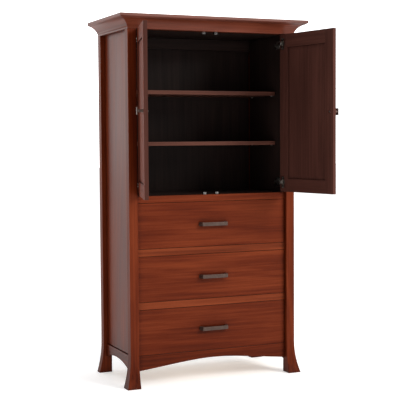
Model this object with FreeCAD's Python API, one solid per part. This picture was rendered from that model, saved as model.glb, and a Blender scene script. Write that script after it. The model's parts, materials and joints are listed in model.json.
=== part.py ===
import FreeCAD
import Part
import math
import os

# Armoire: two doors over three drawers, on four flared legs.
# Millimetres. X is the width, the front faces -Y, +Z is up, and left and right are as seen
# from the front. Everything is drawn about the middle of the case, and save() then moves it
# so that the origin is on the floor, in the middle of the front left foot's sole.
# The doors stand open at rest, and the drawers are shut.

V = FreeCAD.Vector

# ---- driving dimensions -------------------------------------------------------------

HEIGHT = 1900.0            # floor to the top of the slab
CASE_WIDTH = 948.0         # outside the posts
CASE_DEPTH = 470.0         # front face of the front posts to rear face of the rear posts

POST_WIDTH = 47.0          # across the front
POST_DEPTH = 42.0          # along the side
FLARE_OUT = 26.0           # how far a foot sweeps out at the floor
FLARE_HEIGHT = 170.0       # where the sweep begins

SLAB_THICKNESS = 22.0
SLAB_EDGE = 14.0           # upright part of the slab's edge, above its underbevel
SLAB_BEVEL_IN = 14.0       # how far the underbevel runs in
SLAB_OVERHANG = 58.0       # past the posts, front and sides
CROWN_HEIGHT = 49.0
CROWN_OUT = 42.0           # how far the cove stands out at its top
CROWN_BACK = 22.0          # thickness of the crown behind the post faces
CROWN_FLAT = 6.0           # upright strip under the cove
CROWN_HOLLOW = 7.0         # depth of the cove's hollow below its chord

FACE_SETBACK = 22.0        # rails, drawers and shut doors behind the post faces
BOARD = 20.0               # thickness of rails, doors, drawer fronts and shelves
PANEL_SETBACK = 25.0       # side panel behind the side face of the posts
PANEL_THICKNESS = 10.0
APRON_SETBACK = 18.0       # side apron behind the side face of the posts
PANEL_GROOVE = 3.0         # shadow gap between side panel and side apron

APRON_TOP = 159.0
DRAWER_OPENING = 238.0
DRAWER_RAIL = 37.0
SILL_RAIL = 35.0
APRON_ARCH = [(-1.0, 80.5), (-0.5, 104.5), (0.0, 119.5), (0.5, 104.5), (1.0, 80.5)]
SIDE_ARCH_FRONT = 57.0     # height of the side apron's arch at the front leg,
SIDE_ARCH_CROWN = 113.0    # at its crown,
SIDE_ARCH_BACK = 89.0      # and at the rear leg
SIDE_ARCH_CROWN_Y = 40.0

SHELF_TOPS = {"upper": 1527.0, "lower": 1258.5}
SHELF_SETBACK = 112.0      # shelf edge behind the post faces
LINER_THICKNESS = 16.0
LINER_PROUD = 6.0          # liner inside the posts' inner faces; the doors stop on it
STOP_GAP = 2.0             # between a shut door and the liner's front edge
FLOOR_THICKNESS = 18.0
CEILING_THICKNESS = 12.0
BACK_THICKNESS = 8.0
BACK_INSET = 10.0          # back panel inside the rear face of the rear posts
BACK_RAIL_HEIGHTS = [(119.0, 159.0), (1769.0, 1829.0)]
PIN_RADIUS = 2.5
PIN_CLEARANCE = 0.05
PIN_IN = 8.0
PIN_OUT = 9.0
PIN_FROM_EDGE = 40.0

DOOR_GAP = 2.0             # between a shut door and the case
MEETING_GAP = 3.0          # between the two shut doors
DOOR_STILE = 62.0
DOOR_RAIL = 70.0
DOOR_BOTTOM = 987.0
DOOR_TOP = 1827.0
TONGUE = 8.0               # panel tongue, held in a groove
TONGUE_THICKNESS = 6.0
GROOVE_CLEARANCE = 0.2
FIELD_THICKNESS = 14.0
FIELD_BEVEL = 24.0
BEVEL_START = 1.0          # strip of bare tongue between the frame and the bevel
DOOR_OPEN = {"left": 106.5, "right": 101.0}   # degrees, at rest
AXIS_IN = 5.0              # door axis inside the opening's edge
AXIS_BACK = 18.0           # door axis behind the post faces

HINGE_FROM_END = 51.0      # hinge centre to the door's end
CUP_FROM_EDGE = 22.0
CUP_RADIUS = 17.4
CUP_BORE = 17.5
CUP_WALL = 1.2
CUP_DEPTH = 12.0
CUP_FLOOR_GAP = 0.3        # between the cup and the bottom of its bore
FLANGE_WIDTH = 26.0
FLANGE_HEIGHT = 60.0
FLANGE_THICKNESS = 1.5
FLANGE_SHORT = 4.0         # flange cut short towards the hinge edge
HINGE_SCREW_RADIUS = 2.0
HINGE_SCREW_LENGTH = 11.0
HINGE_SCREW_SPACING = 48.0
HINGE_SCREW_HEAD = 3.5
HINGE_SCREW_HEAD_THICK = 1.0
LINK_WIDTH = 5.0
LINK_HEIGHT = 10.0
LINK_PIVOT = (14.0, 46.0)  # inside the opening's edge, behind the post faces
LINK_ROUTE = [(14.0, 46.0), (31.0, 34.0), (37.5, 14.0), (35.0, -4.0), (23.5, -4.5)]
LINK_ROUTE_ANGLE = 101.0   # the route is given with the door open this far
LINK_RATIO = 0.85          # degrees that a link turns for each degree of its door
LINK_PIN_RADIUS = 1.5
LINK_PIN_CLEARANCE = 0.06
ARM_HEIGHT = 16.0
ARM_LENGTH = 58.0
ARM_SLOT = 10.6
ARM_SLOT_DEPTH = 14.0
ARM_FROM_LINER = 2.0
ARM_THICKNESS = 12.0
PLATE_HEIGHT = 44.0
PLATE_LENGTH = 40.0

KNOB_FROM_EDGE = 27.0
KNOB_WIDTH = 22.0
KNOB_TALL = 36.0
KNOB_PLATE = 6.0           # thickness of the knob's plate
KNOB_REACH = 33.0
KNOB_EASE = 1.0
KNOB_STEM_RADIUS = 7.0
KNOB_FOOT_OUT = 1.5        # the stem's foot spreads this much,
KNOB_FOOT_HEIGHT = 6.0     # over this height
KNOB_WAIST = 17.0          # height of the middle of the stem's flare
KNOB_WAIST_OUT = 0.6       # and its spread there
KNOB_NECK_RADIUS = 9.5     # the flare's radius where it meets the plate
KNOB_SCREW_RADIUS = 2.0
KNOB_SCREW_IN = 14.0       # depth of the knob's screw hole
KNOB_SCREW_HEAD = 4.5
SCREW_SHORT = 1.0          # a screw ends this far from the bottom of its hole
SCREW_HEAD_THICK = 2.0     # heads of the knob and pull screws

CATCH_FROM_MIDDLE = 35.0
CATCH_SIZE = (16.0, 16.0, 11.0)
MAGNET_RADIUS = 4.5
MAGNET_LENGTH = 2.0
MAGNET_GAP = 0.5           # between the magnet and the shut door

DRAWER_GAP = 2.0
DRAWER_SIDE = 14.0
DRAWER_HALF_WIDTH = 420.0
DRAWER_SIDE_HEIGHT = 190.0
DRAWER_LENGTH = 383.0
DRAWER_BACK_THICKNESS = 14.0
DRAWER_BOTTOM_THICKNESS = 6.0
DRAWER_BOTTOM_UP = 12.0
BOTTOM_GROOVE = 7.0
RUN_CLEARANCE = 0.6
RUNNER_WIDTH = 55.0
RUNNER_THICKNESS = 18.0
GUIDE_HEIGHT = 40.0
GUIDE_GAP = 1.5

PULL_LENGTH = 144.0
PULL_HEIGHT = 19.0
PULL_REACH = 33.0
PULL_BAR = 8.0
PULL_BOW = 2.0
PULL_HOLLOW_LESS = 0.5     # the inner face bows this much less than the outer one
PULL_LEG = 14.0
PULL_SPLAY = 8.0           # the feet stand this much outside the ends of the bar
PULL_EASE = 1.2
PULL_SCREW_RADIUS = 2.0
PULL_SCREW_HEAD = 4.0
PULL_SCREW_IN = 12.0
PULL_FRONT_BAND = 0.5      # edges this near the shoulders' plane or ahead of it are eased
LEVEL = 0.1                # an edge that rises less than this is level

# ---- places worked out from them ----------------------------------------------------

SIDE = CASE_WIDTH / 2
FRONT = -CASE_DEPTH / 2
BACK = CASE_DEPTH / 2
OPENING = SIDE - POST_WIDTH                      # half the clear width between the posts
CASE_TOP = HEIGHT - SLAB_THICKNESS - CROWN_HEIGHT
FACE = FRONT + FACE_SETBACK                      # front of rails and drawers
INNER_FACE = FACE + BOARD                        # rear of rails and shut doors
BACK_PANEL_FRONT = BACK - BACK_INSET - BACK_THICKNESS
POST_BACK_FRONT = BACK - POST_DEPTH              # front face of the rear posts
LINER_INNER = OPENING - LINER_PROUD

LOW_OPENING = APRON_TOP
MIDDLE_OPENING = LOW_OPENING + DRAWER_OPENING + DRAWER_RAIL
HIGH_OPENING = MIDDLE_OPENING + DRAWER_OPENING + DRAWER_RAIL
DRAWERS = {"top": HIGH_OPENING, "middle": MIDDLE_OPENING, "bottom": LOW_OPENING}
SILL_BOTTOM = HIGH_OPENING + DRAWER_OPENING
SILL_TOP = SILL_BOTTOM + SILL_RAIL

DOOR_WIDTH = OPENING - DOOR_GAP - MEETING_GAP / 2
AXIS = V(OPENING - AXIS_IN, FRONT + AXIS_BACK, 0)
HINGE_HEIGHTS = [DOOR_BOTTOM + HINGE_FROM_END, DOOR_TOP - HINGE_FROM_END]
KNOB_HEIGHT = (DOOR_BOTTOM + DOOR_TOP) / 2
ORIGIN = V(-OPENING - (POST_WIDTH + FLARE_OUT) / 2, FRONT + (POST_DEPTH - FLARE_OUT) / 2, 0)

# ---- helpers ------------------------------------------------------------------------


def box(x, y, z):
    """A board between the low and high limits given for each axis."""
    return Part.makeBox(x[1] - x[0], y[1] - y[0], z[1] - z[0], V(x[0], y[0], z[0]))


def prism(edges, reach):
    """A closed flat outline, pushed along a vector into a solid."""
    return Part.Face(Part.Wire(edges)).extrude(reach)


def outline(points):
    """Straight edges round a list of corners."""
    return Part.makePolygon(points + [points[0]]).Edges


def mirrored(shape):
    """The same piece on the other side of the case."""
    return shape.mirror(V(0, 0, 0), V(1, 0, 0))


def on_side(shape, side):
    """A piece drawn on the right-hand side, put on the side named."""
    return mirrored(shape) if side == "left" else shape


def cylinder(radius, length, base, direction):
    return Part.makeCylinder(radius, length, base, direction)


def save(name, shape):
    """One STEP file for each node, moved to the origin; a list is a group of separate solids."""
    if isinstance(shape, list):
        shape = Part.makeCompound(shape)
    shape.translated(ORIGIN * -1).exportStep("parts/" + name + ".step")


# ---- top and crown ------------------------------------------------------------------


def top_slab():
    half = SIDE + SLAB_OVERHANG
    front = FRONT - SLAB_OVERHANG
    edge_bottom = HEIGHT - SLAB_EDGE
    bottom = HEIGHT - SLAB_THICKNESS
    upper = box((-half, half), (front, BACK), (edge_bottom, HEIGHT))
    wide = [V(-half, BACK, edge_bottom), V(-half, front, edge_bottom),
            V(half, front, edge_bottom), V(half, BACK, edge_bottom)]
    inner = half - SLAB_BEVEL_IN
    narrow = [V(-inner, BACK, bottom), V(-inner, front + SLAB_BEVEL_IN, bottom),
              V(inner, front + SLAB_BEVEL_IN, bottom), V(inner, BACK, bottom)]
    rings = [Part.Wire(outline(narrow)), Part.Wire(outline(wide))]
    bevel = Part.makeLoft(rings, True, True)
    return upper.fuse(bevel).removeSplitter()


def crown_section(place):
    """The cove's outline; place turns (out from the post face, up) into a point."""
    chord = math.hypot(CROWN_OUT, CROWN_HEIGHT - CROWN_FLAT)
    rise = (CROWN_HEIGHT - CROWN_FLAT) / chord
    run = CROWN_OUT / chord
    middle_out = CROWN_OUT / 2 - CROWN_HOLLOW * rise
    middle_up = (CROWN_HEIGHT + CROWN_FLAT) / 2 + CROWN_HOLLOW * run
    low = place(0, CROWN_FLAT)
    high = place(CROWN_OUT, CROWN_HEIGHT)
    cove = Part.Arc(low, place(middle_out, middle_up), high).toShape()
    corners = [high, place(-CROWN_BACK, CROWN_HEIGHT), place(-CROWN_BACK, 0), place(0, 0), low]
    straight = Part.makePolygon(corners).Edges
    return [cove] + straight


def crown_front():
    reach = SIDE + CROWN_OUT
    edges = crown_section(lambda out, up: V(-reach, FRONT - out, CASE_TOP + up))
    length = prism(edges, V(2 * reach, 0, 0))
    corners = [V(-reach, FRONT - CROWN_OUT, CASE_TOP), V(reach, FRONT - CROWN_OUT, CASE_TOP),
               V(SIDE - CROWN_BACK, FRONT + CROWN_BACK, CASE_TOP),
               V(-SIDE + CROWN_BACK, FRONT + CROWN_BACK, CASE_TOP)]
    return length.common(prism(outline(corners), V(0, 0, CROWN_HEIGHT)))


def crown_side():
    edges = crown_section(lambda out, up: V(SIDE + out, FRONT - CROWN_OUT, CASE_TOP + up))
    length = prism(edges, V(0, CASE_DEPTH + CROWN_OUT, 0))
    corners = [V(SIDE + CROWN_OUT, FRONT - CROWN_OUT, CASE_TOP), V(SIDE + CROWN_OUT, BACK, CASE_TOP),
               V(SIDE - CROWN_BACK, BACK, CASE_TOP),
               V(SIDE - CROWN_BACK, FRONT + CROWN_BACK, CASE_TOP)]
    return length.common(prism(outline(corners), V(0, 0, CROWN_HEIGHT)))


def top_frame():
    half = SIDE - CROWN_BACK
    up = (CASE_TOP, CASE_TOP + CROWN_HEIGHT)
    front = box((-half, half), (FRONT + CROWN_BACK, INNER_FACE), up)
    rear = box((-half, half), (BACK - CROWN_BACK, BACK), up)
    right = box((half - BOARD, half), (INNER_FACE, BACK - CROWN_BACK), up)
    return [front, rear, right, mirrored(right)]


# ---- posts --------------------------------------------------------------------------


def flared_outline(width, place):
    """Outline of a post whose far side sweeps out below FLARE_HEIGHT on one arc."""
    radius = (FLARE_HEIGHT ** 2 + FLARE_OUT ** 2) / (2 * FLARE_OUT)
    half_way = radius - math.sqrt(radius ** 2 - (FLARE_HEIGHT / 2) ** 2)
    toe = place(width + FLARE_OUT, 0)
    ankle = place(width, FLARE_HEIGHT)
    sweep = Part.Arc(toe, place(width + half_way, FLARE_HEIGHT / 2), ankle).toShape()
    corners = [ankle, place(width, CASE_TOP), place(0, CASE_TOP), place(0, 0), toe]
    return [sweep] + Part.makePolygon(corners).Edges


def front_post():
    """Right-hand front post: its foot sweeps out to the side and to the front."""
    sideways = prism(flared_outline(POST_WIDTH, lambda out, up: V(OPENING + out, FRONT - FLARE_OUT, up)),
                     V(0, POST_DEPTH + FLARE_OUT, 0))
    rear_face = FRONT + POST_DEPTH
    forwards = prism(flared_outline(POST_DEPTH, lambda out, up: V(OPENING, rear_face - out, up)),
                     V(POST_WIDTH + FLARE_OUT, 0, 0))
    return sideways.common(forwards)


def rear_post():
    """Right-hand rear post: its foot sweeps out to the side only."""
    edges = flared_outline(POST_WIDTH, lambda out, up: V(OPENING + out, POST_BACK_FRONT, up))
    return prism(edges, V(0, POST_DEPTH, 0))


# ---- sides, rails and aprons --------------------------------------------------------


def side_panel():
    outer = SIDE - PANEL_SETBACK
    return box((outer - PANEL_THICKNESS, outer), (INNER_FACE, POST_BACK_FRONT),
               (APRON_TOP, CASE_TOP))


def side_apron():
    outer = SIDE - APRON_SETBACK
    inner = outer - BOARD
    top = APRON_TOP - PANEL_GROOVE
    front_end = V(inner, INNER_FACE, SIDE_ARCH_FRONT)
    crown = V(inner, SIDE_ARCH_CROWN_Y, SIDE_ARCH_CROWN)
    back_end = V(inner, POST_BACK_FRONT, SIDE_ARCH_BACK)
    arch = Part.Arc(front_end, crown, back_end).toShape()
    corners = [back_end, V(inner, POST_BACK_FRONT, top), V(inner, INNER_FACE, top), front_end]
    return prism([arch] + Part.makePolygon(corners).Edges, V(BOARD, 0, 0))


def front_apron():
    arch = Part.BSplineCurve()
    arch.interpolate([V(part * OPENING, FACE, up) for part, up in APRON_ARCH])
    left_end = V(-OPENING, FACE, APRON_ARCH[0][1])
    right_end = V(OPENING, FACE, APRON_ARCH[-1][1])
    corners = [right_end, V(OPENING, FACE, APRON_TOP), V(-OPENING, FACE, APRON_TOP), left_end]
    return prism([arch.toShape()] + Part.makePolygon(corners).Edges, V(0, BOARD, 0))


def front_rail(bottom, top):
    return box((-OPENING, OPENING), (FACE, INNER_FACE), (bottom, top))


def back_rails():
    depth = (BACK_PANEL_FRONT - BOARD, BACK_PANEL_FRONT)
    return [box((-OPENING, OPENING), depth, height) for height in BACK_RAIL_HEIGHTS]


# ---- door compartment ---------------------------------------------------------------


def pin_places():
    """Where the right-hand shelf pins go: along Y, and up to the pin's middle."""
    shelf_front = FRONT + SHELF_SETBACK
    depths = (shelf_front + PIN_FROM_EDGE, POST_BACK_FRONT - PIN_FROM_EDGE)
    heights = [top - BOARD - PIN_RADIUS for top in SHELF_TOPS.values()]
    return [(y, z) for z in heights for y in depths]


def side_liner():
    liner = box((LINER_INNER, LINER_INNER + LINER_THICKNESS),
                (INNER_FACE + STOP_GAP, POST_BACK_FRONT - STOP_GAP), (SILL_TOP, CASE_TOP))
    for y, z in pin_places():
        hole = cylinder(PIN_RADIUS + PIN_CLEARANCE, PIN_IN, V(LINER_INNER, y, z), V(1, 0, 0))
        liner = liner.cut(hole)
    return liner


def shelf_pins():
    start = LINER_INNER - PIN_OUT
    right = [cylinder(PIN_RADIUS, PIN_OUT + PIN_IN, V(start, y, z), V(1, 0, 0))
             for y, z in pin_places()]
    return right + [mirrored(pin) for pin in right]


def shelf(top):
    half = LINER_INNER - DOOR_GAP
    return box((-half, half), (FRONT + SHELF_SETBACK, BACK_PANEL_FRONT - DOOR_GAP), (top - BOARD, top))


def door_catches():
    """Magnet housings on the floor and under the ceiling, behind the meeting stiles."""
    wide, deep, high = CATCH_SIZE
    front = INNER_FACE + MAGNET_LENGTH
    pieces = []
    for bottom in (SILL_TOP, CASE_TOP - high):
        middle = bottom + high / 2
        housing = box((CATCH_FROM_MIDDLE - wide / 2, CATCH_FROM_MIDDLE + wide / 2),
                      (front, front + deep), (bottom, bottom + high))
        magnet = cylinder(MAGNET_RADIUS, MAGNET_LENGTH - MAGNET_GAP,
                          V(CATCH_FROM_MIDDLE, INNER_FACE + MAGNET_GAP, middle), V(0, 1, 0))
        pieces += [housing, magnet, mirrored(housing), mirrored(magnet)]
    return pieces


# ---- drawer runners -----------------------------------------------------------------


def drawer_runners():
    """A runner under each drawer side, and a guide strip on it beside the drawer."""
    pieces = []
    inner = SIDE - APRON_SETBACK - BOARD - RUNNER_WIDTH
    length = (INNER_FACE, POST_BACK_FRONT)
    for bottom in DRAWERS.values():
        runner = box((inner, inner + RUNNER_WIDTH), length, (bottom - RUNNER_THICKNESS, bottom))
        guide = box((DRAWER_HALF_WIDTH + GUIDE_GAP, inner + RUNNER_WIDTH), length,
                    (bottom, bottom + GUIDE_HEIGHT))
        pieces += [runner, guide, mirrored(runner), mirrored(guide)]
    return pieces


# ---- doors --------------------------------------------------------------------------
# A door is drawn shut, on the right-hand side, and then swung to its rest angle.

HINGE_EDGE = OPENING - DOOR_GAP
MEETING_EDGE = HINGE_EDGE - DOOR_WIDTH
DOOR_FACES = (FACE, INNER_FACE)


def swing(shape, side):
    placed = on_side(shape, side)
    turn = DOOR_OPEN[side] if side == "right" else -DOOR_OPEN[side]
    pivot = V(AXIS.x if side == "right" else -AXIS.x, AXIS.y, 0)
    placed.rotate(pivot, V(0, 0, 1), turn)
    return placed


def panel_groove():
    """The space that the panel's tongue runs in, round the inside of the frame."""
    middle = (FACE + INNER_FACE) / 2
    deep = TONGUE + GROOVE_CLEARANCE
    half = TONGUE_THICKNESS / 2 + GROOVE_CLEARANCE / 2
    return box((MEETING_EDGE + DOOR_STILE - deep, HINGE_EDGE - DOOR_STILE + deep),
               (middle - half, middle + half),
               (DOOR_BOTTOM + DOOR_RAIL - deep, DOOR_TOP - DOOR_RAIL + deep))


def cup_axis(height):
    return V(HINGE_EDGE - CUP_FROM_EDGE, INNER_FACE, height)


def hinge_screw_places():
    """Where the cup screws go into the hinge stile."""
    half = HINGE_SCREW_SPACING / 2
    return [cup_axis(height) + V(0, 0, up) for height in HINGE_HEIGHTS for up in (-half, half)]


def hinge_stile():
    stile = box((HINGE_EDGE - DOOR_STILE, HINGE_EDGE), DOOR_FACES, (DOOR_BOTTOM, DOOR_TOP))
    stile = stile.cut(panel_groove())
    for height in HINGE_HEIGHTS:
        stile = stile.cut(cylinder(CUP_BORE, CUP_DEPTH, cup_axis(height), V(0, -1, 0)))
    for place in hinge_screw_places():
        stile = stile.cut(cylinder(HINGE_SCREW_RADIUS, HINGE_SCREW_LENGTH, place, V(0, -1, 0)))
    return stile


def knob_base():
    return V(MEETING_EDGE + KNOB_FROM_EDGE, FACE, KNOB_HEIGHT)


def meeting_stile():
    stile = box((MEETING_EDGE, MEETING_EDGE + DOOR_STILE), DOOR_FACES, (DOOR_BOTTOM, DOOR_TOP))
    hole = cylinder(KNOB_SCREW_RADIUS, BOARD, knob_base(), V(0, 1, 0))
    return stile.cut(panel_groove()).cut(hole)


def door_rails():
    across = (MEETING_EDGE + DOOR_STILE, HINGE_EDGE - DOOR_STILE)
    groove = panel_groove()
    bottom = box(across, DOOR_FACES, (DOOR_BOTTOM, DOOR_BOTTOM + DOOR_RAIL)).cut(groove)
    top = box(across, DOOR_FACES, (DOOR_TOP - DOOR_RAIL, DOOR_TOP)).cut(groove)
    return [bottom, top]


def ring(inset, y):
    """A rectangle inside the door's frame, at depth y."""
    left = MEETING_EDGE + DOOR_STILE + inset
    right = HINGE_EDGE - DOOR_STILE - inset
    low = DOOR_BOTTOM + DOOR_RAIL + inset
    high = DOOR_TOP - DOOR_RAIL - inset
    return Part.Wire(outline([V(left, y, low), V(right, y, low), V(right, y, high), V(left, y, high)]))


def raised_panel():
    """A panel with a bevelled field on both faces and a tongue all round."""
    middle = (FACE + INNER_FACE) / 2
    thin = TONGUE_THICKNESS / 2
    thick = FIELD_THICKNESS / 2
    tongue = Part.Face(ring(-TONGUE, middle - thin)).extrude(V(0, TONGUE_THICKNESS, 0))
    front = Part.makeLoft([ring(BEVEL_START, middle - thin), ring(FIELD_BEVEL, middle - thick)],
                          True, True)
    rear = Part.makeLoft([ring(BEVEL_START, middle + thin), ring(FIELD_BEVEL, middle + thick)],
                         True, True)
    return tongue.fuse([front, rear]).removeSplitter()


def knob():
    """A tall plate with eased edges on a flaring stem, turned about the axis of its screw."""
    base = knob_base()
    plate_back = KNOB_REACH - KNOB_PLATE
    stem_end = plate_back + KNOB_PLATE / 2

    def at(radius, out):
        return base + V(radius, -out, 0)

    plate = box((base.x - KNOB_WIDTH / 2, base.x + KNOB_WIDTH / 2),
                (base.y - KNOB_REACH, base.y - plate_back),
                (base.z - KNOB_TALL / 2, base.z + KNOB_TALL / 2))
    plate = plate.makeFillet(KNOB_EASE, plate.Edges)
    flare = Part.Arc(at(KNOB_STEM_RADIUS, KNOB_FOOT_HEIGHT),
                     at(KNOB_STEM_RADIUS + KNOB_WAIST_OUT, KNOB_WAIST),
                     at(KNOB_NECK_RADIUS, plate_back)).toShape()
    rest = Part.makePolygon([at(KNOB_NECK_RADIUS, plate_back), at(KNOB_NECK_RADIUS, stem_end),
                             at(0, stem_end), at(0, KNOB_SCREW_IN),
                             at(KNOB_SCREW_RADIUS, KNOB_SCREW_IN), at(KNOB_SCREW_RADIUS, 0),
                             at(KNOB_STEM_RADIUS + KNOB_FOOT_OUT, 0),
                             at(KNOB_STEM_RADIUS, KNOB_FOOT_HEIGHT)]).Edges
    stem = Part.Face(Part.Wire([flare] + rest)).revolve(base, V(0, 1, 0), 360)
    return plate.fuse(stem).removeSplitter()


def headed_screw(place, direction, radius, length, head_radius, head_thickness):
    """A screw whose head sits on the surface at place, with its shank along direction."""
    shank = cylinder(radius, length, place, direction)
    head = cylinder(head_radius, head_thickness, place, direction * -1)
    return shank.fuse(head).removeSplitter()


def door_screws():
    """The knob's screw from inside the door, and the four that hold the hinge cups."""
    knob_screw = headed_screw(knob_base() + V(0, BOARD, 0), V(0, -1, 0), KNOB_SCREW_RADIUS,
                              BOARD + KNOB_SCREW_IN - SCREW_SHORT, KNOB_SCREW_HEAD,
                              SCREW_HEAD_THICK)
    cup_screws = [headed_screw(place + V(0, FLANGE_THICKNESS, 0), V(0, -1, 0), HINGE_SCREW_RADIUS,
                               HINGE_SCREW_LENGTH + FLANGE_THICKNESS, HINGE_SCREW_HEAD,
                               HINGE_SCREW_HEAD_THICK)
                  for place in hinge_screw_places()]
    return [knob_screw] + cup_screws


def hinge_cups():
    """Two cups let into the hinge stile, each with a flange on the door's inner face."""
    cups = []
    for height in HINGE_HEIGHTS:
        centre = cup_axis(height)
        flange = box((centre.x - FLANGE_WIDTH / 2, centre.x + FLANGE_WIDTH / 2 - FLANGE_SHORT),
                     (centre.y, centre.y + FLANGE_THICKNESS),
                     (height - FLANGE_HEIGHT / 2, height + FLANGE_HEIGHT / 2))
        depth = CUP_DEPTH - CUP_FLOOR_GAP
        wall = cylinder(CUP_RADIUS, depth, centre, V(0, -1, 0))
        hollow = cylinder(CUP_RADIUS - CUP_WALL, depth - CUP_WALL + FLANGE_THICKNESS,
                          centre + V(0, FLANGE_THICKNESS, 0), V(0, -1, 0))
        cups.append(flange.fuse(wall).cut(hollow).removeSplitter())
    for place in hinge_screw_places():
        hole = cylinder(HINGE_SCREW_RADIUS, FLANGE_THICKNESS, place, V(0, 1, 0))
        cups = [cup.cut(hole) for cup in cups]
    return cups


# ---- concealed hinges, case side ----------------------------------------------------


def from_opening(inwards, behind, height=0.0):
    """A point given from the right edge of the opening and the post faces."""
    return V(OPENING - inwards, FRONT + behind, height)


def strap(points, width, bottom, height):
    """A flat bar of even width that follows a bent line."""
    pieces = []
    for start, end in zip(points, points[1:]):
        along = end - start
        length = along.Length
        bar = Part.makeBox(length, width, height, V(0, -width / 2, bottom))
        bar.rotate(V(0, 0, 0), V(0, 0, 1), math.degrees(math.atan2(along.y, along.x)))
        bar.translate(V(start.x, start.y, 0))
        pieces.append(bar)
    for point in points:
        pieces.append(cylinder(width / 2, height, V(point.x, point.y, bottom), V(0, 0, 1)))
    return pieces[0].fuse(pieces[1:]).removeSplitter()


def hinge_links():
    """Goose-neck links of the two hinges of the right door, as LINK_ROUTE gives them."""
    route = [from_opening(inwards, behind) for inwards, behind in LINK_ROUTE]
    links = []
    for height in HINGE_HEIGHTS:
        bottom = height - LINK_HEIGHT / 2
        link = strap(route, LINK_WIDTH, bottom, LINK_HEIGHT)
        eye = cylinder(LINK_PIN_RADIUS + LINK_PIN_CLEARANCE, LINK_HEIGHT,
                       from_opening(LINK_PIVOT[0], LINK_PIVOT[1], bottom), V(0, 0, 1))
        links.append(link.cut(eye))
    return links


def hinge_arms():
    """Arm, mounting plate and link pin of both hinges on the right-hand liner."""
    pieces = []
    pivot = from_opening(*LINK_PIVOT)
    tip = pivot.y - LINK_WIDTH / 2
    outer = LINER_INNER - ARM_FROM_LINER
    for height in HINGE_HEIGHTS:
        arm = box((outer - ARM_THICKNESS, outer), (tip, tip + ARM_LENGTH),
                  (height - ARM_HEIGHT / 2, height + ARM_HEIGHT / 2))
        slot = box((outer - ARM_THICKNESS, outer), (tip, tip + ARM_SLOT_DEPTH),
                   (height - ARM_SLOT / 2, height + ARM_SLOT / 2))
        pin = cylinder(LINK_PIN_RADIUS, ARM_HEIGHT,
                       V(pivot.x, pivot.y, height - ARM_HEIGHT / 2), V(0, 0, 1))
        plate = box((outer, LINER_INNER), (tip + ARM_SLOT_DEPTH, tip + ARM_SLOT_DEPTH + PLATE_LENGTH),
                    (height - PLATE_HEIGHT / 2, height + PLATE_HEIGHT / 2))
        pieces += [arm.cut(slot).cut(pin), pin, plate]
    return pieces + [mirrored(piece) for piece in pieces]


# ---- drawers ------------------------------------------------------------------------


def drawer_front(opening_bottom):
    return box((-OPENING + DRAWER_GAP, OPENING - DRAWER_GAP), (FACE, INNER_FACE),
               (opening_bottom + DRAWER_GAP, opening_bottom + DRAWER_OPENING - DRAWER_GAP))


def bottom_space(opening_bottom, inset, clearance):
    """The drawer bottom's place; inset is how far it runs into the sides' groove."""
    half = DRAWER_HALF_WIDTH - DRAWER_SIDE + inset
    low = opening_bottom + DRAWER_BOTTOM_UP - clearance
    return box((-half, half), (INNER_FACE, INNER_FACE + DRAWER_LENGTH),
               (low, low + DRAWER_BOTTOM_THICKNESS + 2 * clearance))


def drawer_sides(opening_bottom):
    low = opening_bottom + RUN_CLEARANCE
    right = box((DRAWER_HALF_WIDTH - DRAWER_SIDE, DRAWER_HALF_WIDTH),
                (INNER_FACE, INNER_FACE + DRAWER_LENGTH), (low, low + DRAWER_SIDE_HEIGHT))
    right = right.cut(bottom_space(opening_bottom, BOTTOM_GROOVE, GROOVE_CLEARANCE))
    return [right, mirrored(right)]


def drawer_bottom(opening_bottom):
    return bottom_space(opening_bottom, BOTTOM_GROOVE - GROOVE_CLEARANCE, 0.0)


def drawer_back(opening_bottom):
    half = DRAWER_HALF_WIDTH - DRAWER_SIDE
    end = INNER_FACE + DRAWER_LENGTH
    low = opening_bottom + DRAWER_BOTTOM_UP + DRAWER_BOTTOM_THICKNESS
    high = opening_bottom + RUN_CLEARANCE + DRAWER_SIDE_HEIGHT
    return box((-half, half), (end - DRAWER_BACK_THICKNESS, end), (low, high))


def pull_middle(opening_bottom):
    return opening_bottom + DRAWER_OPENING / 2


def screw_offset():
    return PULL_LENGTH / 2 + PULL_SPLAY - PULL_LEG / 2


def drawer_pull(opening_bottom):
    """A slightly bowed bar on two splayed legs; the level edges of its face are eased."""
    half = PULL_LENGTH / 2
    foot_outer = half + PULL_SPLAY
    foot_inner = foot_outer - PULL_LEG
    bar_inner = half - PULL_LEG
    shoulder = PULL_REACH - PULL_BOW
    inside = shoulder - PULL_BAR
    bottom = pull_middle(opening_bottom) - PULL_HEIGHT / 2

    def at(x, out):
        return V(x, FACE - out, bottom)

    bow = Part.Arc(at(-half, shoulder), at(0, PULL_REACH), at(half, shoulder)).toShape()
    right_leg = Part.makePolygon([at(half, shoulder), at(foot_outer, 0), at(foot_inner, 0),
                                  at(bar_inner, inside)]).Edges
    hollow = Part.Arc(at(bar_inner, inside), at(0, inside + PULL_BOW - PULL_HOLLOW_LESS),
                      at(-bar_inner, inside)).toShape()
    left_leg = Part.makePolygon([at(-bar_inner, inside), at(-foot_inner, 0), at(-foot_outer, 0),
                                 at(-half, shoulder)]).Edges
    bar = prism([bow] + right_leg + [hollow] + left_leg, V(0, 0, PULL_HEIGHT))
    eased = [edge for edge in bar.Edges
             if edge.BoundBox.YMin < FACE - shoulder + PULL_FRONT_BAND and edge.BoundBox.ZLength < LEVEL]
    bar = bar.makeFillet(PULL_EASE, eased)
    for x in (-screw_offset(), screw_offset()):
        bar = bar.cut(cylinder(PULL_SCREW_RADIUS, PULL_SCREW_IN, at(x, 0) + V(0, 0, PULL_HEIGHT / 2),
                               V(0, -1, 0)))
    return bar


def pull_screw_axes(opening_bottom):
    middle = pull_middle(opening_bottom)
    return [V(x, FACE, middle) for x in (-screw_offset(), screw_offset())]


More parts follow.
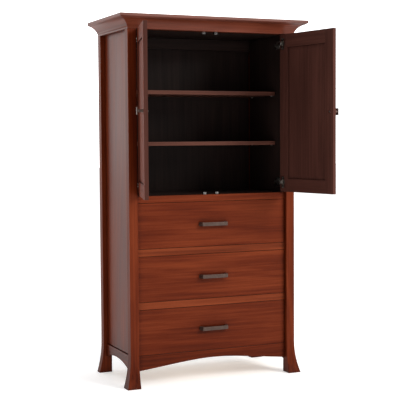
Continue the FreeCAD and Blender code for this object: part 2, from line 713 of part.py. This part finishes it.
def bored_front(opening_bottom):
    front = drawer_front(opening_bottom)
    for place in pull_screw_axes(opening_bottom):
        front = front.cut(cylinder(PULL_SCREW_RADIUS, BOARD, place, V(0, 1, 0)))
    return front


def pull_screws(opening_bottom):
    return [headed_screw(place + V(0, BOARD, 0), V(0, -1, 0), PULL_SCREW_RADIUS,
                         BOARD + PULL_SCREW_IN - SCREW_SHORT, PULL_SCREW_HEAD,
                         SCREW_HEAD_THICK)
            for place in pull_screw_axes(opening_bottom)]


# ---- the whole armoire --------------------------------------------------------------


def save_case():
    save("top_slab", top_slab())
    save("crown_front", crown_front())
    save("crown_right", crown_side())
    save("crown_left", mirrored(crown_side()))
    save("top_frame_rails", top_frame())
    for side in ("left", "right"):
        save("front_post_" + side, on_side(front_post(), side))
        save("rear_post_" + side, on_side(rear_post(), side))
        save("side_panel_" + side, on_side(side_panel(), side))
    save("side_aprons", [side_apron(), mirrored(side_apron())])
    save("front_apron", front_apron())
    save("sill_rail", front_rail(SILL_BOTTOM, SILL_TOP))
    save("drawer_rails", [front_rail(bottom - DRAWER_RAIL, bottom)
                          for bottom in (MIDDLE_OPENING, HIGH_OPENING)])
    save("back_rails", back_rails())
    save("back_panel", box((-OPENING, OPENING), (BACK_PANEL_FRONT, BACK_PANEL_FRONT + BACK_THICKNESS),
                           (BACK_RAIL_HEIGHTS[0][0], CASE_TOP)))
    save("side_liners", [side_liner(), mirrored(side_liner())])
    save("compartment_floor", box((-OPENING, OPENING), (INNER_FACE, BACK_PANEL_FRONT),
                                  (SILL_TOP - FLOOR_THICKNESS, SILL_TOP)))
    ceiling_half = SIDE - CROWN_BACK - BOARD
    save("compartment_ceiling", box((-ceiling_half, ceiling_half), (INNER_FACE, BACK - CROWN_BACK),
                                    (CASE_TOP, CASE_TOP + CEILING_THICKNESS)))
    for name, top in SHELF_TOPS.items():
        save("shelf_" + name, shelf(top))
    save("shelf_pins", shelf_pins())
    save("drawer_runners", drawer_runners())
    save("hinge_arms", hinge_arms())
    save("door_catches", door_catches())


def save_door(side):
    pieces = {"hinge_stile": hinge_stile(), "meeting_stile": meeting_stile(),
              "panel": raised_panel(), "knob": knob()}
    for name, shape in pieces.items():
        save(side + "_door_" + name, swing(shape, side))
    groups = {"rails": door_rails(), "screws": door_screws(), "hinge_cups": hinge_cups()}
    for name, shapes in groups.items():
        save(side + "_door_" + name, [swing(shape, side) for shape in shapes])


def save_links(side):
    """The links follow their door, so a door that stands further open turns them further."""
    extra = (DOOR_OPEN[side] - LINK_ROUTE_ANGLE) * LINK_RATIO
    pivot = from_opening(*LINK_PIVOT)
    links = hinge_links()
    for link in links:
        link.rotate(pivot, V(0, 0, 1), extra)
    save(side + "_hinge_links", [on_side(link, side) for link in links])


def save_drawer(name, opening_bottom):
    start = "drawer_" + name + "_"
    save(start + "front", bored_front(opening_bottom))
    save(start + "sides", drawer_sides(opening_bottom))
    save(start + "back", drawer_back(opening_bottom))
    save(start + "bottom", drawer_bottom(opening_bottom))
    save(start + "pull", drawer_pull(opening_bottom))
    save(start + "pull_screws", pull_screws(opening_bottom))


os.makedirs("parts", exist_ok=True)
save_case()
for door_side in ("left", "right"):
    save_door(door_side)
    save_links(door_side)
for drawer_name, drawer_bottom_height in DRAWERS.items():
    save_drawer(drawer_name, drawer_bottom_height)
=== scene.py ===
import json
import math
import bpy
from mathutils import Matrix, Vector

# Looks of the armoire: timber, metal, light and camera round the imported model.
# Metres. X is the width, the front faces -Y, +Z is up. Colours are linear RGB.

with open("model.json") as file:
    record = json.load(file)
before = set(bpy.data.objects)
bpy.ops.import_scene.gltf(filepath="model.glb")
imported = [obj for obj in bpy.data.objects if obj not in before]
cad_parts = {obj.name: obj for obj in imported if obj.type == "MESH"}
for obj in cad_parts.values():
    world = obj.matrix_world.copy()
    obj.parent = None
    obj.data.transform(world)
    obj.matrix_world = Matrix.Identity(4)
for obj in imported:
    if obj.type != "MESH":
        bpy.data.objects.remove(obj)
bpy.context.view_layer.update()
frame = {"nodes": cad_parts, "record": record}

# ---- how the parts stand ------------------------------------------------------------

LEFT_DOOR_ANGLE = math.radians(-106.5)
RIGHT_DOOR_ANGLE = math.radians(101.0)
UPRIGHT = "upright"          # grain along Z; otherwise an angle about Z, from X
ALONG_X = 0.0
ALONG_Y = math.pi / 2

# ---- the boards' edges --------------------------------------------------------------

EASED_EDGE = 0.0014          # rounding of an edge,
EASED_STEPS = 3              # and how many facets it has
SHORTEST_EASED = 0.009       # edges shorter than this, such as those of screw holes, stay sharp
SHARP_ANGLE = math.radians(30)
WELD = 0.00001               # vertices nearer to each other than this are joined

# ---- timber: stained cherry under satin lacquer -------------------------------------

# The darkest, middle and lightest colour of each look, and where on the tone they lie.
CASE_TONES = ((0.044, 0.0060, 0.0019), (0.108, 0.0163, 0.0042), (0.185, 0.0345, 0.0100))
FRONT_TONES = ((0.042, 0.0056, 0.0018), (0.103, 0.0155, 0.0042), (0.180, 0.0335, 0.0095))
RAIL_TONES = ((0.062, 0.0105, 0.0036), (0.150, 0.0280, 0.0085), (0.230, 0.0500, 0.0170))
# Painted shade and sheen: darker, greyer tones for a door's faces turned from its front.
DOOR_SHADE_AND_SHEEN_TONES = ((0.036, 0.0125, 0.0092), (0.063, 0.0222, 0.0163), (0.094, 0.0335, 0.0245))
TOP_TONES = ((0.060, 0.0120, 0.0060), (0.130, 0.0290, 0.0140), (0.205, 0.0520, 0.0270))
# The inside: partly dark stain, partly painted shade that makes it near black.
INSIDE_STAIN_AND_SHADE_TONES = ((0.010, 0.0060, 0.0052), (0.018, 0.0108, 0.0094), (0.030, 0.0175, 0.0150))
SHELF_TONES = ((0.040, 0.0140, 0.0100), (0.078, 0.0290, 0.0205), (0.125, 0.0480, 0.0340))
BOX_TONES = ((0.400, 0.2600, 0.1400), (0.520, 0.3600, 0.2100), (0.640, 0.4700, 0.2950))
TONE_STOPS = (0.28, 0.47, 0.68)

# Noise: features in a metre along the grain and in the two directions across it, then
# detail, roughness and distortion.
RING_NOISE = ((0.40, 6.0, 6.0), 1.5, 0.45, 0.10)
STREAK_NOISE = ((2.0, 95.0, 95.0), 5.0, 0.58)
PATCH_NOISE = ((1.5, 11.0, 11.0), 3.0, 0.52)
FIBRE_NOISE = ((14.0, 620.0, 620.0), 3.0, 0.6)
PORE_NOISE = ((70.0, 1500.0, 1500.0), 1.0)
RING_TURNS = 70.0            # the rings' noise goes through this many radians of a wave
PIT_FROM_TO = (0.62, 0.74)   # the pores' noise between these goes from plain timber to pit

# What each pattern adds to the tone; pits take away.
PATCH_TONE = 0.38
STREAK_TONE = 0.40
RING_TONE = 0.06
FIBRE_TONE = 0.16
PIT_TONE = -0.10

RUB_AND_HIGHLIGHT_WIDTH = 0.0025          # how far from an edge the lacquer is rubbed and a painted highlight lies,
RUB_AND_HIGHLIGHT_TONE = 0.12             # how much lighter the timber is there,
RUB_AND_HIGHLIGHT_STREAKS = (0.35, 0.60)  # and the streaks' noise between which it goes from none to full
RUB_AND_HIGHLIGHT_COSINES = (0.995, 0.86) # plain against rounded normal, on the open face and at an edge
PAINTED_CORNER_SHADE_REACH = 0.035         # painted shade: corners this near another board are darkened,
PAINTED_CORNER_SHADE_TONE = -0.20          # how much darker it is there,
PAINTED_CORNER_SHADE_OPEN = (0.35, 0.90)   # and the openness between which it goes from full to none
PAINTED_FLOOR_SHADE_HEIGHTS = (0.04, 0.26)      # heights between which the painted shade near the floor fades out,
PAINTED_FLOOR_SHADE = 0.12    # and how much darker the timber is painted below them
FACING_COSINES = (0.85, 0.55)     # surface against a door's front: still front, and no longer
NODE_SAMPLES = 4             # of the nodes that look for corners and edges

SHEEN = (0.30, 0.44)         # roughness of the lacquer, smoothest and roughest,
SHEEN_NOISE = (0.3, 0.7)     # and the noise at which it is so
DOOR_SHEEN = (0.54, 0.66)
TOP_SHEEN = (0.46, 0.58)
GLOSS = 0.06                 # how strongly the lacquer reflects
SIDE_GLOSS = 0.13
CROWN_GLOSS = 0.16
TOP_GLOSS = 0.50
GRAIN_BUMP = (0.12, 0.0004)  # strength and depth

# ---- metal --------------------------------------------------------------------------

# Noise as for timber, but on the piece's own X, Y and Z.
BRONZE_STOPS = ((0.30, (0.055, 0.033, 0.026)), (0.55, (0.076, 0.047, 0.037)),
                (0.75, (0.102, 0.066, 0.052)))
BRONZE_METALLIC = 0.60
BRONZE_NOISE = ((60.0, 60.0, 60.0), 4.0, 0.6)
BRONZE_SHEEN = (0.3, 0.7, 0.38, 0.50)     # noise from and to, roughness from and to
CAST_NOISE = ((900.0, 900.0, 900.0), 2.0)
CAST_BUMP = (0.18, 0.0002)

STEEL_TINT = (0.66, 0.65, 0.62)
CUP_TINT = (0.34, 0.31, 0.28)             # hinge cups and links
CATCH_TINT = (0.25, 0.24, 0.23)
DULLED = 0.72                             # the dull patches' colour, as a part of the tint
DULL_AT = 0.30                            # the patches' noise where nickel is dull,
BRIGHT_AT = 0.62                          # and where it is bright
DULL_NOISE = ((90.0, 90.0, 90.0), 3.0)
MARK_NOISE = ((2500.0, 2500.0, 120.0), 3.0)
NICKEL_SHEEN = (0.25, 0.75, 0.24, 0.42)
MARK_BUMP = (0.10, 0.0001)

# ---- studio -------------------------------------------------------------------------

CAMERA_PLACE = Vector((-1.8455, -5.048, 1.275))
CAMERA_YAW = math.radians(23.832)
CAMERA_PITCH = math.radians(3.317)
CAMERA_ROLL = math.radians(-0.377)
LENS_MM = 95.47
SENSOR_MM = 36.0

LAMP_PLACE = Vector((4.7, -5.8, 4.8))
LAMP_AIM = Vector((0.46, 0.2, 1.0))
LAMP_SIDE = 3.2
LAMP_POWER = 460.0
LAMP_COLOUR = (1.0, 0.97, 0.93)

# The surround's brightness everywhere, and what is added on three sides: the axis, where
# along it the added light begins, where it is full, and how bright it is.
AROUND_LIGHT = 0.11
LIGHT_BEHIND = ("Y", 0.70, 0.92, 2.50)
LIGHT_IN_FRONT = ("Y", -0.45, -0.90, 0.24)
LIGHT_ABOVE = ("Z", 0.25, 0.85, 1.00)

FLOOR_REACH = 40.0
FLOOR_WHITE = 0.92
FLOOR_ROUGHNESS = 0.9
FLOOR_GLOSS = 0.1
FLOOR_GLOW = 0.32            # light that the floor gives off itself

# ---- node helpers -------------------------------------------------------------------


class Nodes:
    """A node tree, with short calls to add and join nodes.

    An input is a value, or an output of another node, which is then linked."""

    def __init__(self, tree):
        self.tree = tree

    def node(self, kind, inputs=None, **settings):
        made = self.tree.nodes.new(kind)
        for key, value in settings.items():
            setattr(made, key, value)
        for key, value in (inputs or {}).items():
            if isinstance(value, bpy.types.NodeSocket):
                self.tree.links.new(value, made.inputs[key])
            else:
                made.inputs[key].default_value = value
        return made

    def math(self, operation, first, second=0.0):
        return self.node("ShaderNodeMath", {0: first, 1: second}, operation=operation).outputs[0]

    def total(self, *terms):
        """The sum of each term's value times its weight."""
        parts = [self.math("MULTIPLY", value, weight) for value, weight in terms]
        result = parts[0]
        for part in parts[1:]:
            result = self.math("ADD", result, part)
        return result


class Shader(Nodes):
    """A new material's nodes."""

    def __init__(self, name):
        self.material = bpy.data.materials.new(name)
        self.material.use_nodes = True
        super().__init__(self.material.node_tree)
        self.surface = self.tree.nodes["Principled BSDF"]

    def stretched_noise(self, vector, stretch, detail=2.0, roughness=0.5, distortion=0.0):
        """Noise whose features are 1 / stretch metres long on each axis."""
        scaled = self.node("ShaderNodeVectorMath", {0: vector, 1: stretch}, operation="MULTIPLY")
        noise = self.node("ShaderNodeTexNoise",
                          {"Vector": scaled.outputs[0], "Scale": 1.0, "Detail": detail,
                           "Roughness": roughness, "Distortion": distortion})
        return noise.outputs["Fac"]

    def spread(self, value, low, high, to_low=0.0, to_high=1.0):
        """Takes low to to_low and high to to_high, and never goes beyond them."""
        made = self.node("ShaderNodeMapRange",
                         {"Value": value, "From Min": low, "From Max": high,
                          "To Min": to_low, "To Max": to_high})
        return made.outputs["Result"]

    def ramp(self, value, stops):
        made = self.node("ShaderNodeValToRGB", {"Fac": value})
        elements = made.color_ramp.elements
        while len(elements) < len(stops):
            elements.new(0.5)
        for element, (place, colour) in zip(elements, stops):
            element.position = place
            element.color = (*colour, 1.0)
        return made.outputs["Color"]

    def mix(self, factor, first, second):
        """A colour between two; 6, 7 and 2 are the node's own numbers for its colour sockets."""
        made = self.node("ShaderNodeMix", {0: factor, 6: first, 7: second}, data_type="RGBA")
        return made.outputs[2]

    def agreement(self, first, second):
        """The cosine of the angle between two directions."""
        made = self.node("ShaderNodeVectorMath", {0: first, 1: second}, operation="DOT_PRODUCT")
        return made.outputs["Value"]

    def turned_from(self, way):
        """0 where the surface looks along way, in the object's own axes, and 1 elsewhere."""
        normal = self.node("ShaderNodeTexCoord").outputs["Normal"]
        return self.spread(self.agreement(normal, way), *FACING_COSINES)

    def painted_corner_shade(self):
        """Painted shade: 1 deep in a corner or a gap between boards, 0 out in the open."""
        air = self.node("ShaderNodeAmbientOcclusion", {"Distance": PAINTED_CORNER_SHADE_REACH},
                        samples=NODE_SAMPLES)
        return self.spread(air.outputs["AO"], *PAINTED_CORNER_SHADE_OPEN, 1.0, 0.0)

    def rubbed_and_highlit_edges(self):
        """Rubbed lacquer and a painted highlight: 0 on the open face, rising to 1 at an edge."""
        rounded = self.node("ShaderNodeBevel", {"Radius": RUB_AND_HIGHLIGHT_WIDTH}, samples=NODE_SAMPLES)
        plain = self.node("ShaderNodeNewGeometry")
        agreement = self.agreement(rounded.outputs["Normal"], plain.outputs["Normal"])
        return self.spread(agreement, *RUB_AND_HIGHLIGHT_COSINES)

    def shifted_place(self, seed):
        """The object's own coordinates, moved so that pieces don't repeat each other."""
        place = self.node("ShaderNodeTexCoord").outputs["Object"]
        moved = self.node("ShaderNodeMapping", {"Vector": place, "Location": (seed, seed, seed)})
        return moved.outputs["Vector"]

    def bump(self, height, strength, distance):
        made = self.node("ShaderNodeBump",
                         {"Height": height, "Strength": strength, "Distance": distance})
        self.tree.links.new(made.outputs["Normal"], self.surface.inputs["Normal"])

    def set(self, **values):
        for key, value in values.items():
            socket = self.surface.inputs[key.replace("_", " ")]
            if isinstance(value, bpy.types.NodeSocket):
                self.tree.links.new(value, socket)
            else:
                socket.default_value = value


# ---- materials ----------------------------------------------------------------------


def timber(name, tones, grain, seed, sheen=SHEEN, gloss=GLOSS, front=None):
    """Cherry with growth rings, streaks, fibres and pores that follow the board's grain.

    A board with a front, which is a direction, gets painted shade and painted sheen on its other
    faces: darker, greyer tones."""
    shader = Shader(name)
    place = shader.node("ShaderNodeTexCoord").outputs["Object"]
    turn = (0.0, math.pi / 2, 0.0) if grain == UPRIGHT else (0.0, 0.0, -grain)
    # Each board is cut from its own place in the noise.
    offset = (seed * 3.71 % 11.0, seed * 1.37 % 7.0, seed * 2.19 % 5.0)
    along = shader.node("ShaderNodeMapping",
                        {"Vector": place, "Rotation": turn, "Location": offset}).outputs["Vector"]
    contour = shader.stretched_noise(along, *RING_NOISE)
    wave = shader.math("SINE", shader.math("MULTIPLY", contour, RING_TURNS))
    rings = shader.spread(wave, -1.0, 1.0)
    streaks = shader.stretched_noise(along, *STREAK_NOISE)
    patches = shader.stretched_noise(along, *PATCH_NOISE)
    fibres = shader.stretched_noise(along, *FIBRE_NOISE)
    pits = shader.spread(shader.stretched_noise(along, *PORE_NOISE), *PIT_FROM_TO)

    # Painted shade: the timber is darker near the floor.
    height = shader.node("ShaderNodeSeparateXYZ", {0: place}).outputs["Z"]
    painted_floor_shade = shader.spread(height, *PAINTED_FLOOR_SHADE_HEIGHTS, PAINTED_FLOOR_SHADE, 0.0)
    # Edges are lighter: partly rubbed lacquer, partly painted highlight.
    worn_and_highlit = shader.math("MULTIPLY", shader.rubbed_and_highlit_edges(), shader.spread(streaks, *RUB_AND_HIGHLIGHT_STREAKS))
    # The tone takes painted shade in corners and gaps between boards.
    tone = shader.total((patches, PATCH_TONE), (streaks, STREAK_TONE), (rings, RING_TONE),
                        (fibres, FIBRE_TONE), (pits, PIT_TONE), (painted_floor_shade, -1.0),
                        (shader.painted_corner_shade(), PAINTED_CORNER_SHADE_TONE), (worn_and_highlit, RUB_AND_HIGHLIGHT_TONE))
    colour = shader.ramp(tone, list(zip(TONE_STOPS, tones)))
    # Painted shade and sheen on a door's faces turned from its front.
    if front:
        painted_shade_and_sheen = shader.ramp(tone, list(zip(TONE_STOPS, DOOR_SHADE_AND_SHEEN_TONES)))
        colour = shader.mix(shader.turned_from(front), colour, painted_shade_and_sheen)
    uneven = shader.total((patches, 0.5), (fibres, 0.5))
    shader.set(Base_Color=colour, Roughness=shader.spread(uneven, *SHEEN_NOISE, *sheen),
               Specular_IOR_Level=gloss)
    shader.bump(shader.total((fibres, 0.5), (streaks, 0.5), (pits, -1.0)), *GRAIN_BUMP)
    return shader.material


def bronze(name, seed):
    """Dark oil-rubbed bronze: mottled, with a faint cast texture."""
    shader = Shader(name)
    place = shader.shifted_place(seed)
    cloud = shader.stretched_noise(place, *BRONZE_NOISE)
    cast = shader.stretched_noise(place, *CAST_NOISE)
    shader.set(Base_Color=shader.ramp(cloud, BRONZE_STOPS), Metallic=BRONZE_METALLIC,
               Roughness=shader.spread(cloud, *BRONZE_SHEEN))
    shader.bump(cast, *CAST_BUMP)
    return shader.material


def nickel(name, tint, seed):
    """Nickel plate with fine rubbing marks and a few dull patches."""
    shader = Shader(name)
    place = shader.shifted_place(seed)
    marks = shader.stretched_noise(place, *MARK_NOISE)
    patches = shader.stretched_noise(place, *DULL_NOISE)
    dull = tuple(value * DULLED for value in tint)
    shader.set(Base_Color=shader.ramp(patches, ((DULL_AT, dull), (BRIGHT_AT, tint))), Metallic=1.0,
               Roughness=shader.spread(marks, *NICKEL_SHEEN))
    shader.bump(marks, *MARK_BUMP)
    return shader.material


# ---- eased edges --------------------------------------------------------------------


def edge_marker():
    """Nodes that join split vertices, shade smoothly and mark the long sharp edges."""
    group = bpy.data.node_groups.new("mark_long_edges", "GeometryNodeTree")
    group.interface.new_socket("Geometry", in_out="INPUT", socket_type="NodeSocketGeometry")
    group.interface.new_socket("Geometry", in_out="OUTPUT", socket_type="NodeSocketGeometry")
    nodes = Nodes(group)
    start = nodes.node("NodeGroupInput")
    weld = nodes.node("GeometryNodeMergeByDistance",
                      {"Geometry": start.outputs[0], "Distance": WELD})
    smooth = nodes.node("GeometryNodeSetShadeSmooth", {"Geometry": weld.outputs[0]})
    angle = nodes.node("GeometryNodeInputMeshEdgeAngle").outputs["Unsigned Angle"]
    sharp = nodes.node("FunctionNodeCompare", {"A": angle, "B": SHARP_ANGLE},
                       operation="GREATER_THAN")
    ends = nodes.node("GeometryNodeInputMeshEdgeVertices").outputs
    length = nodes.node("ShaderNodeVectorMath", {0: ends["Position 1"], 1: ends["Position 2"]},
                        operation="DISTANCE").outputs["Value"]
    long_enough = nodes.node("FunctionNodeCompare", {"A": length, "B": SHORTEST_EASED},
                             operation="GREATER_THAN")
    both = nodes.node("FunctionNodeBooleanMath", {0: sharp.outputs[0], 1: long_enough.outputs[0]},
                      operation="AND")
    store = nodes.node("GeometryNodeStoreNamedAttribute",
                       {"Geometry": smooth.outputs[0], "Name": "bevel_weight_edge",
                        "Value": both.outputs[0]}, data_type="FLOAT", domain="EDGE")
    nodes.node("NodeGroupOutput", {0: store.outputs[0]})
    return group


marker = edge_marker()


def ease(piece):
    """Rounds a board's long edges, by modifiers only."""
    mark = piece.modifiers.new("mark", "NODES")
    mark.node_group = marker
    bevel = piece.modifiers.new("ease", "BEVEL")
    bevel.limit_method = "WEIGHT"
    bevel.width = EASED_EDGE
    bevel.segments = EASED_STEPS
    normals = piece.modifiers.new("normals", "WEIGHTED_NORMAL")
    normals.weight = 100


# ---- what each node is made of ------------------------------------------------------

ALONG_X_NODES = {"top_slab", "crown_front", "top_frame_rails", "front_apron", "sill_rail",
                 "drawer_rails", "back_rails", "compartment_floor", "compartment_ceiling",
                 "shelf_upper", "shelf_lower"}
ALONG_Y_NODES = {"crown_left", "crown_right", "side_aprons", "drawer_runners"}
NOT_EASED = {"top_frame_rails"}    # hidden, and easing would put them outside the CAD box
TONES = {"wood_case": CASE_TONES, "wood_panel": CASE_TONES, "wood_top": TOP_TONES,
         "wood_drawer_front": FRONT_TONES, "wood_inside": INSIDE_STAIN_AND_SHADE_TONES,
         "wood_drawer_box": BOX_TONES}
OTHER_TONES = {"shelf_upper": SHELF_TONES, "shelf_lower": SHELF_TONES, "drawer_rails": RAIL_TONES}


def grain_of(node):
    if node in ALONG_X_NODES:
        return ALONG_X
    if node in ALONG_Y_NODES:
        return ALONG_Y
    if node == "left_door_rails":
        return LEFT_DOOR_ANGLE
    if node == "right_door_rails":
        return RIGHT_DOOR_ANGLE
    if node.startswith("drawer_"):
        return ALONG_Y if node.endswith("_sides") else ALONG_X
    return UPRIGHT


def door_front(node):
    """The way a door's front looks as the door stands here."""
    angle = LEFT_DOOR_ANGLE if node.startswith("left") else RIGHT_DOOR_ANGLE
    return (math.sin(angle), -math.cos(angle), 0.0)


def finish_of(node):
    """What is special about a board's lacquer."""
    if "_door_" in node:
        return {"sheen": DOOR_SHEEN, "front": door_front(node)}
    if node == "top_slab":
        return {"sheen": TOP_SHEEN, "gloss": TOP_GLOSS}
    if node == "side_aprons" or node.startswith("side_panel"):
        return {"gloss": SIDE_GLOSS}
    if node.startswith("crown"):
        return {"gloss": CROWN_GLOSS}
    return {}


def dress(node, slot, seed):
    piece = frame["nodes"][node]
    if slot in TONES:
        tones = OTHER_TONES.get(node, TONES[slot])
        material = timber("timber_" + node, tones, grain_of(node), seed, **finish_of(node))
        if node not in NOT_EASED:
            ease(piece)
    elif slot == "bronze":
        material = bronze("bronze_" + node, seed)
    elif slot == "steel":
        tint = CUP_TINT if node.endswith(("_cups", "_links")) else STEEL_TINT
        material = nickel("nickel_" + node, tint, seed)
    else:
        material = nickel("satin_" + node, CATCH_TINT, seed)
    piece.data.materials.clear()
    piece.data.materials.append(material)


slots = {part["node"]: part["material_slot"] for part in frame["record"]["subparts"]}
for number, node_name in enumerate(sorted(frame["nodes"])):
    dress(node_name, slots[node_name], number + 1)

# ---- floor, light and camera --------------------------------------------------------


def floor():
    """A plain white floor, faintly lit from below like a photographer's table."""
    mesh = bpy.data.meshes.new("studio_floor")
    corners = [(-FLOOR_REACH, -FLOOR_REACH, 0), (FLOOR_REACH, -FLOOR_REACH, 0),
               (FLOOR_REACH, FLOOR_REACH, 0), (-FLOOR_REACH, FLOOR_REACH, 0)]
    mesh.from_pydata(corners, [], [(0, 1, 2, 3)])
    piece = bpy.data.objects.new("studio_floor", mesh)
    bpy.context.scene.collection.objects.link(piece)
    shader = Shader("studio_floor")
    shader.set(Base_Color=(FLOOR_WHITE, FLOOR_WHITE, FLOOR_WHITE, 1.0), Roughness=FLOOR_ROUGHNESS,
               Specular_IOR_Level=FLOOR_GLOSS, Emission_Color=(1.0, 1.0, 1.0, 1.0),
               Emission_Strength=FLOOR_GLOW)
    mesh.materials.append(shader.material)


def lamp():
    """One softbox, high in front on the right."""
    data = bpy.data.lights.new("key", "AREA")
    data.shape = "SQUARE"
    data.size = LAMP_SIDE
    data.energy = LAMP_POWER
    data.color = LAMP_COLOUR
    piece = bpy.data.objects.new("key", data)
    piece.location = LAMP_PLACE
    piece.rotation_euler = (LAMP_AIM - LAMP_PLACE).to_track_quat("-Z", "Y").to_euler()
    bpy.context.scene.collection.objects.link(piece)


def studio_air():
    """Light from behind and overhead, softer in front, dim at the sides; the backdrop is white."""
    world = bpy.data.worlds.new("studio")
    bpy.context.scene.world = world
    world.use_nodes = True
    air = Nodes(world.node_tree)
    way = air.node("ShaderNodeSeparateXYZ",
                   {0: air.node("ShaderNodeTexCoord").outputs["Generated"]}).outputs

    def side(axis, begins, full, brightness):
        made = air.node("ShaderNodeMapRange",
                        {"Value": way[axis], "From Min": begins, "From Max": full,
                         "To Min": 0.0, "To Max": brightness}, interpolation_type="SMOOTHSTEP")
        return made.outputs["Result"]

    strength = side(*LIGHT_BEHIND)
    for more in (side(*LIGHT_IN_FRONT), side(*LIGHT_ABOVE), AROUND_LIGHT):
        strength = air.math("ADD", strength, more)
    seen_directly = air.node("ShaderNodeLightPath").outputs["Is Camera Ray"]
    background = air.tree.nodes["Background"]
    background.inputs["Color"].default_value = (1.0, 1.0, 1.0, 1.0)
    air.tree.links.new(air.math("MAXIMUM", strength, seen_directly), background.inputs["Strength"])


def camera():
    """The photograph's viewpoint, as fitted to the armoire's straight edges."""
    forward = Vector((math.sin(CAMERA_YAW) * math.cos(CAMERA_PITCH),
                      math.cos(CAMERA_YAW) * math.cos(CAMERA_PITCH), -math.sin(CAMERA_PITCH)))
    level = Vector((math.cos(CAMERA_YAW), -math.sin(CAMERA_YAW), 0.0))
    rise = level.cross(forward)
    right = level * math.cos(CAMERA_ROLL) + rise * math.sin(CAMERA_ROLL)
    up = rise * math.cos(CAMERA_ROLL) - level * math.sin(CAMERA_ROLL)
    data = bpy.data.cameras.new("camera")
    data.sensor_width = SENSOR_MM
    data.lens = LENS_MM
    eye = bpy.data.objects.new("camera", data)
    turned = Matrix((right, up, -forward)).transposed().to_4x4()
    eye.matrix_world = Matrix.Translation(CAMERA_PLACE) @ turned
    bpy.context.scene.collection.objects.link(eye)
    bpy.context.scene.camera = eye


floor()
studio_air()
lamp()
camera()
bpy.context.scene.view_settings.view_transform = "Standard"
